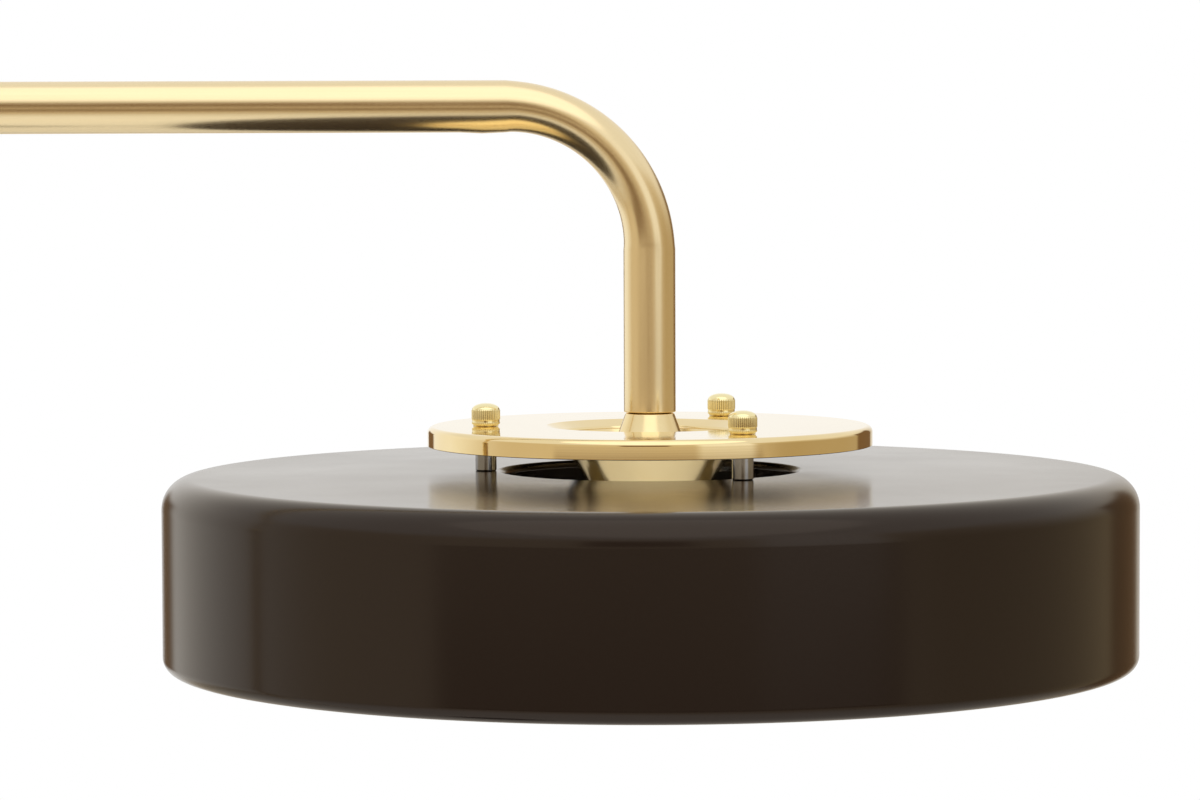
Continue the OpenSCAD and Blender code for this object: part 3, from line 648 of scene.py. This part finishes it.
brushed_tube(
    "arm_tube", arm_stations(), arm_r, 1.5 * MM, ARM, BRUSHED, ["arm_tube"], shape=wrinkle,
)
stem_bottom, stem_top = bottom_of("stem"), top_of("stem")
stem_h = stem_top - stem_bottom
stem_steps = 40
brushed_tube(
    "stem",
    [
        (Matrix.Translation((0, 0, stem_bottom + stem_h * i / stem_steps)), stem_h * i / stem_steps)
        for i in range(stem_steps + 1)
    ],
    stem_r, 2 * MM, STAND, BRUSHED, ["stem"],
)

swivel_r = radius_of("swivel_housing")
house_top = top_of("swivel_housing")
thrust = house_top + 0.5 * MM
stem_collar_r = stem_r - 0.5 * MM
stem_spigot_r = stem_r - 2.1 * MM
house_bore = stem_spigot_r - 1.7 * MM
flange_bore = house_bore + 2.4 * MM
flange_h = 2 * MM
flare_top = stem_top + (swivel_r - stem_collar_r) / math.tan(collar_slope)
turned(
    "swivel_housing",
    [
        (house_bore, stem_top - spigot_h), (stem_spigot_r, stem_top - spigot_h),
        (stem_spigot_r, stem_top + seam), (stem_collar_r, stem_top + seam),
        (swivel_r, flare_top), (swivel_r, house_top), (flange_bore, house_top),
        (flange_bore, thrust - flange_h), (house_bore, thrust - flange_h),
    ],
    stem_axis, STAND, SWIVEL_BRASS, ["swivel_housing"], edge=0.3 * MM,
)
bush_gap, bush_wall, shaft_gap = 0.1 * MM, 2.1 * MM, 0.03 * MM
shaft_r = house_bore - bush_gap - bush_wall - shaft_gap
lead_hole = 2.6 * MM
shaft_end = bottom_of("arm_spigot")
turned(
    "swivel_cap",
    [
        (lead_hole, shaft_end), (shaft_r, shaft_end), (shaft_r, thrust), (swivel_r, thrust),
        (swivel_r, thrust + flange_h), (collar_top_r, tube_end - seam),
        (spigot_r, tube_end - seam), (spigot_r, spigot_top), (lead_hole, spigot_top),
    ],
    stem_axis, ARM, SWIVEL_BRASS, ["arm_spigot"], edge=0.25 * MM,
)
foot_base = bottom_of("foot_collar")
turned(
    "foot_collar",
    [
        (rod_hole, foot_base), (radius_of("foot_collar"), foot_base),
        (stem_collar_r, stem_bottom - seam), (stem_spigot_r, stem_bottom - seam),
        (stem_spigot_r, stem_bottom + spigot_h), (rod_hole, stem_bottom + spigot_h),
    ],
    stem_axis, STAND, SWIVEL_BRASS, ["foot_collar"], edge=0.3 * MM,
)


# Base, foot switch and cord gland

base_edge = 9.5 * MM
base_wall = 1.5 * MM
base_hole = 5.25 * MM
pad_h = bottom_of("base_cover")
pad_r = radius_of("base_pad")
groove_h = 0.4 * MM
tread_pitch, tread_w, tread_slope = 15 * MM, 9 * MM, 0.6 * MM
tread_count = 8
turned(
    "base_cover",
    [(base_hole, base_top)]
    + arc(base_r - base_edge, base_top - base_edge, base_edge, 90, 0, 16)
    + [(base_r, pad_h), (base_r - base_wall, pad_h)]
    + arc(base_r - base_edge, base_top - base_edge, base_edge - base_wall, 0, 90, 12)
    + [(base_hole, base_top - base_wall)],
    stem_axis, STAND, BRONZE, ["base_cover"], segments=320, edge=0.4 * MM,
)
turned(
    "base_pad",
    [(0, groove_h)]
    + [
        point
        for i in range(1, tread_count + 1)
        for r in [tread_pitch * i]
        for point in (
            (r, groove_h), (r + tread_slope, 0), (r + tread_w, 0), (r + tread_w + tread_slope, groove_h),
        )
    ]
    + [(pad_r, groove_h), (pad_r, pad_h), (0, pad_h)],
    stem_axis, STAND, RUBBER, ["base_pad"], edge=0.1 * MM,
)
switch_axis = centre_of("switch_button").to_2d().to_3d()
bezel_bottom, bezel_top = bottom_of("switch_bezel"), top_of("switch_bezel")
bezel_h = bezel_top - bezel_bottom
bezel_r = radius_of("switch_bezel")
button_top = top_of("switch_button")
button_bottom = bottom_of("switch_button")
button_flange_r = radius_of("switch_button")
button_r = button_flange_r - 1 * MM
bezel_bore = button_r + 0.3 * MM
button_flange_top = button_bottom + 2.5 * MM
button_edge = 1.2 * MM
turned(
    "switch_bezel",
    [(bezel_bore, bezel_bottom), (bezel_r, bezel_bottom)]
    + arc(bezel_r - bezel_h / 2, bezel_bottom + bezel_h / 2, bezel_h / 2, 0, 90)
    + [(bezel_bore + bezel_h / 4, bezel_top), (bezel_bore, bezel_top - bezel_h / 4)],
    switch_axis, STAND, SWITCH_BRASS, ["switch_bezel"], edge=0.2 * MM,
)
turned(
    "switch_button",
    [
        (0, button_bottom), (button_flange_r, button_bottom),
        (button_flange_r, button_flange_top), (button_r, button_flange_top),
    ]
    + arc(button_r - button_edge, button_top - button_edge, button_edge, 0, 90)
    + [
        (button_r - 2.2 * MM, button_top), (button_r - 3 * MM, button_top - 0.35 * MM),
        (0, button_top - 0.5 * MM),
    ],
    switch_axis, BUTTON, SWITCH_BRASS, ["switch_button"], segments=128, edge=0.15 * MM,
)


def cord_gland():
    """Bored gland at the base's rear, turned about an upright line and then laid along X."""
    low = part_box("cord_gland")[0]
    axis = centre_of("cord_gland")
    bore = 3.75 * MM
    barrel, flange = 5.95 * MM, radius_of("cord_gland")
    length, head_h = 22 * MM, 3 * MM
    bm = bmesh.new()
    spin_outline(
        bm,
        [
            (bore, -length), (barrel, -length), (barrel, 0), (flange, 0), (flange, 1.6 * MM),
            (flange - 0.8 * MM, 2.6 * MM), (bore + 1.4 * MM, head_h), (bore, head_h - 0.9 * MM),
        ],
        Vector(), 96,
    )
    close_up(bm)
    soften(bm, 0.2 * MM)
    bmesh.ops.rotate(bm, verts=bm.verts, cent=(0, 0, 0), matrix=Matrix.Rotation(-math.pi / 2, 3, "Y"))
    bmesh.ops.translate(bm, verts=bm.verts, vec=(low.x + head_h, axis.y, axis.z))
    even_normals(finish_piece(bm, "cord_gland", STAND, PLASTIC, ["cord_gland"]))


cord_gland()


# Finishes of the pieces that keep their CAD shape

kept = {
    IRON: ["base_weight"],
    PLASTIC: ["base_terminal", "switch_body", "head_terminal"],
    STEEL: [
        "switch_nut", "foot_nipple", "foot_washer", "foot_nut", "swivel_stop_pin", "swivel_circlip",
        "head_nipple", "head_locknut", "plate_nut", "shade_screws",
    ],
    SWIVEL_BRASS: ["swivel_bush"],
    SHEATH: ["switch_lead", "stem_lead", "arm_lead"],
    ENAMEL: ["lamp_plate"],
    CERAMIC: ["lampholder_1", "lampholder_2"],
    GLASS: ["lamp_1", "lamp_2"],
}
for finish, names in kept.items():
    for node_name in names:
        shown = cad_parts[node_name].data
        shown.materials.clear()
        shown.materials.append(finish)


# Camera: fitted to the drum's outline, the ring and the fixings in a 1200 by 800 frame

frame_width = 1200
focal_pixels = 4695
camera_distance = 1446.8 * MM
camera_height_angle = math.radians(4.349)
camera_side_angle = math.radians(-3.3)
camera_yaw = math.radians(-0.609)
camera_pitch = math.radians(3.449)
camera_roll = math.radians(-0.2)

camera = bpy.data.objects.new("camera", bpy.data.cameras.new("camera"))
bpy.context.scene.collection.objects.link(camera)
bpy.context.scene.camera = camera
camera.data.sensor_width = 36
camera.data.lens = focal_pixels / frame_width * camera.data.sensor_width
camera.data.clip_start = 0.05
camera.data.clip_end = 100
aim = Vector((head_axis.x, head_axis.y, rim_z))
swing = Matrix.Rotation(camera_side_angle, 3, "Z")
away = Vector((0, -math.cos(camera_height_angle), math.sin(camera_height_angle)))
look = (
    Matrix.Rotation(camera_roll, 3, "Y")
    @ Matrix.Rotation(camera_pitch, 3, "X")
    @ Matrix.Rotation(camera_yaw, 3, "Z")
)
right, ahead, up = (swing @ Vector(row) for row in look)
camera.matrix_world = Matrix.Translation(aim + swing @ away * camera_distance) @ Matrix(
    (right, up, -ahead)
).transposed().to_4x4()


# Studio: pale floor, soft lamps and a white surround with a few plain panels

def pale_floor():
    """Round floor that fades out towards its edge."""
    reach = 3.2
    fade_start, fade_end = reach * 0.45, reach * 0.98
    bm = bmesh.new()
    bmesh.ops.create_circle(bm, cap_ends=True, segments=96, radius=reach)
    mesh = bpy.data.meshes.new("floor")
    bm.to_mesh(mesh)
    bm.free()
    floor = bpy.data.objects.new("floor", mesh)
    bpy.context.scene.collection.objects.link(floor)
    f = Finish("floor")
    f.set(Roughness=0.85)
    cloud = f.noise(f.placed((2.5, 2.5, 2.5)), detail=3)
    f.drive("Base Color", f.tones(cloud, (0.86, 0.855, 0.845), (0.89, 0.885, 0.875)))
    distance = f.nodes.new("ShaderNodeVectorMath")
    distance.operation = "LENGTH"
    f.links.new(f.coordinates.outputs["Object"], distance.inputs[0])
    f.drive("Alpha", f.range(distance.outputs["Value"], 1, 0, fade_start, fade_end))
    mesh.materials.append(f.material)


def soft_lamp(name, place, target, size, power, mirrored=False):
    """Round lamp that shines on all pieces, and shows in the metal if wanted."""
    data = bpy.data.lights.new(name, "AREA")
    data.shape = "DISK"
    data.size = size
    data.energy = power
    lamp = bpy.data.objects.new(name, data)
    bpy.context.scene.collection.objects.link(lamp)
    lamp.location = place
    lamp.rotation_mode = "QUATERNION"
    lamp.rotation_quaternion = (Vector(target) - Vector(place)).to_track_quat("-Z", "Y")
    lamp.visible_camera = False
    lamp.visible_glossy = mirrored


class Surround:
    """World nodes: what the metal mirrors, by bearing from the front and by height, in degrees."""

    def __init__(self):
        world = bpy.data.worlds.new("studio")
        bpy.context.scene.world = world
        world.use_nodes = True
        world.cycles.sampling_method = "NONE"
        self.nodes = world.node_tree.nodes
        self.links = world.node_tree.links
        self.background = self.nodes["Background"]
        coordinates = self.nodes.new("ShaderNodeTexCoord")
        turn = self.nodes.new("ShaderNodeMapping")
        turn.inputs["Rotation"].default_value = (0, 0, -camera_side_angle)
        self.links.new(coordinates.outputs["Generated"], turn.inputs["Vector"])
        parts = self.nodes.new("ShaderNodeSeparateXYZ")
        self.links.new(turn.outputs["Vector"], parts.inputs["Vector"])
        back = self.math("MULTIPLY", parts.outputs["Y"], -1)
        bearing = self.math("ARCTAN2", parts.outputs["X"], back)
        self.bearing = self.math("MULTIPLY", bearing, math.degrees(1))
        self.height = self.math("MULTIPLY", self.math("ARCSINE", parts.outputs["Z"]), math.degrees(1))

    def math(self, operation, a, b=None):
        node = self.nodes.new("ShaderNodeMath")
        node.operation = operation
        for value, socket in ((a, node.inputs[0]), (b, node.inputs[1])):
            if isinstance(value, (int, float)):
                socket.default_value = value
            elif value is not None:
                self.links.new(value, socket)
        return node.outputs["Value"]

    def step(self, value, edge, soft):
        """0 below edge and 1 above it."""
        span = self.nodes.new("ShaderNodeMapRange")
        span.interpolation_type = "SMOOTHSTEP"
        span.inputs["From Min"].default_value = edge - soft
        span.inputs["From Max"].default_value = edge + soft
        self.links.new(value, span.inputs["Value"])
        return span.outputs["Result"]

    def within(self, value, low, high, soft):
        """1 between low and high."""
        above = self.step(value, low, soft)
        below = self.math("SUBTRACT", 1, self.step(value, high, soft))
        return self.math("MULTIPLY", above, below)

    def mix(self, share, a, b):
        node = self.nodes.new("ShaderNodeMix")
        node.data_type = "RGBA"
        self.links.new(share, node.inputs["Factor"])
        for value, socket in ((a, node.inputs[6]), (b, node.inputs[7])):
            if isinstance(value, tuple):
                socket.default_value = (*value, 1)
            else:
                self.links.new(value, socket)
        return node.outputs[2]

    def plain(self, tone):
        node = self.nodes.new("ShaderNodeRGB")
        node.outputs["Color"].default_value = (*tone, 1)
        return node.outputs["Color"]

    def panel(self, under, tone, bearings, heights, soft):
        """Puts a panel of one tone over what is there."""
        share = self.math(
            "MULTIPLY", self.within(self.bearing, *bearings, soft), self.within(self.height, *heights, soft)
        )
        return self.mix(share, under, tone)


def studio():
    """Camera rays see white. Metal mirrors a white surround with a dim warm room in front and some flags."""
    s = Surround()
    white = (1.0, 1.0, 1.0)
    ceiling = (0.9, 0.9, 0.9)
    room = (0.7, 0.6, 0.45)
    ground = (0.6, 0.5, 0.35)
    side = (0.5, 0.4, 0.25)
    flag = (0.2, 0.12, 0.06)
    all_round, full_height = (-200, 200), (-91, 91)
    ambient = (0.64, 0.63, 0.62)
    # tone, bearings, heights and softness of the edge, each over the ones before it
    panels = (
        (room, (-100, 100), full_height, 25),
        (ceiling, all_round, (25, 91), 6),
        (ground, all_round, (-91, -20), 5),
        (side, (60, 165), (-40, 15), 15),
        (flag, (-15, 10), (1, 20), 2),
        (flag, (-50, 60), (-18, -5), 2),
        (flag, (-165, -150), (-10, 5), 2),
        (flag, (135, 160), (-30, 15), 2),
        (white, (25, 55), (-4, 30), 3),
    )
    tone = s.plain(white)
    for panel in panels:
        tone = s.panel(tone, *panel)
    rays = s.nodes.new("ShaderNodeLightPath")
    seen = s.math("ADD", rays.outputs["Is Camera Ray"], rays.outputs["Is Glossy Ray"])
    seen = s.math("ADD", seen, rays.outputs["Is Transmission Ray"])
    shown = s.mix(rays.outputs["Is Camera Ray"], tone, white)
    s.links.new(s.mix(seen, ambient, shown), s.background.inputs["Color"])


pale_floor()
soft_lamp("key", (-1.2, -1.6, 3.4), (0.3, 0, 0.9), 1.8, 50)
soft_lamp("fill", (2.2, -1.8, 2.4), (0.3, 0, 0.8), 1.6, 18)
soft_lamp("overhead", (0.43, -0.93, 3.28), (0.43, 0, 1.28), 3.0, 10, mirrored=True)
studio()

bpy.context.scene.view_settings.view_transform = "Standard"
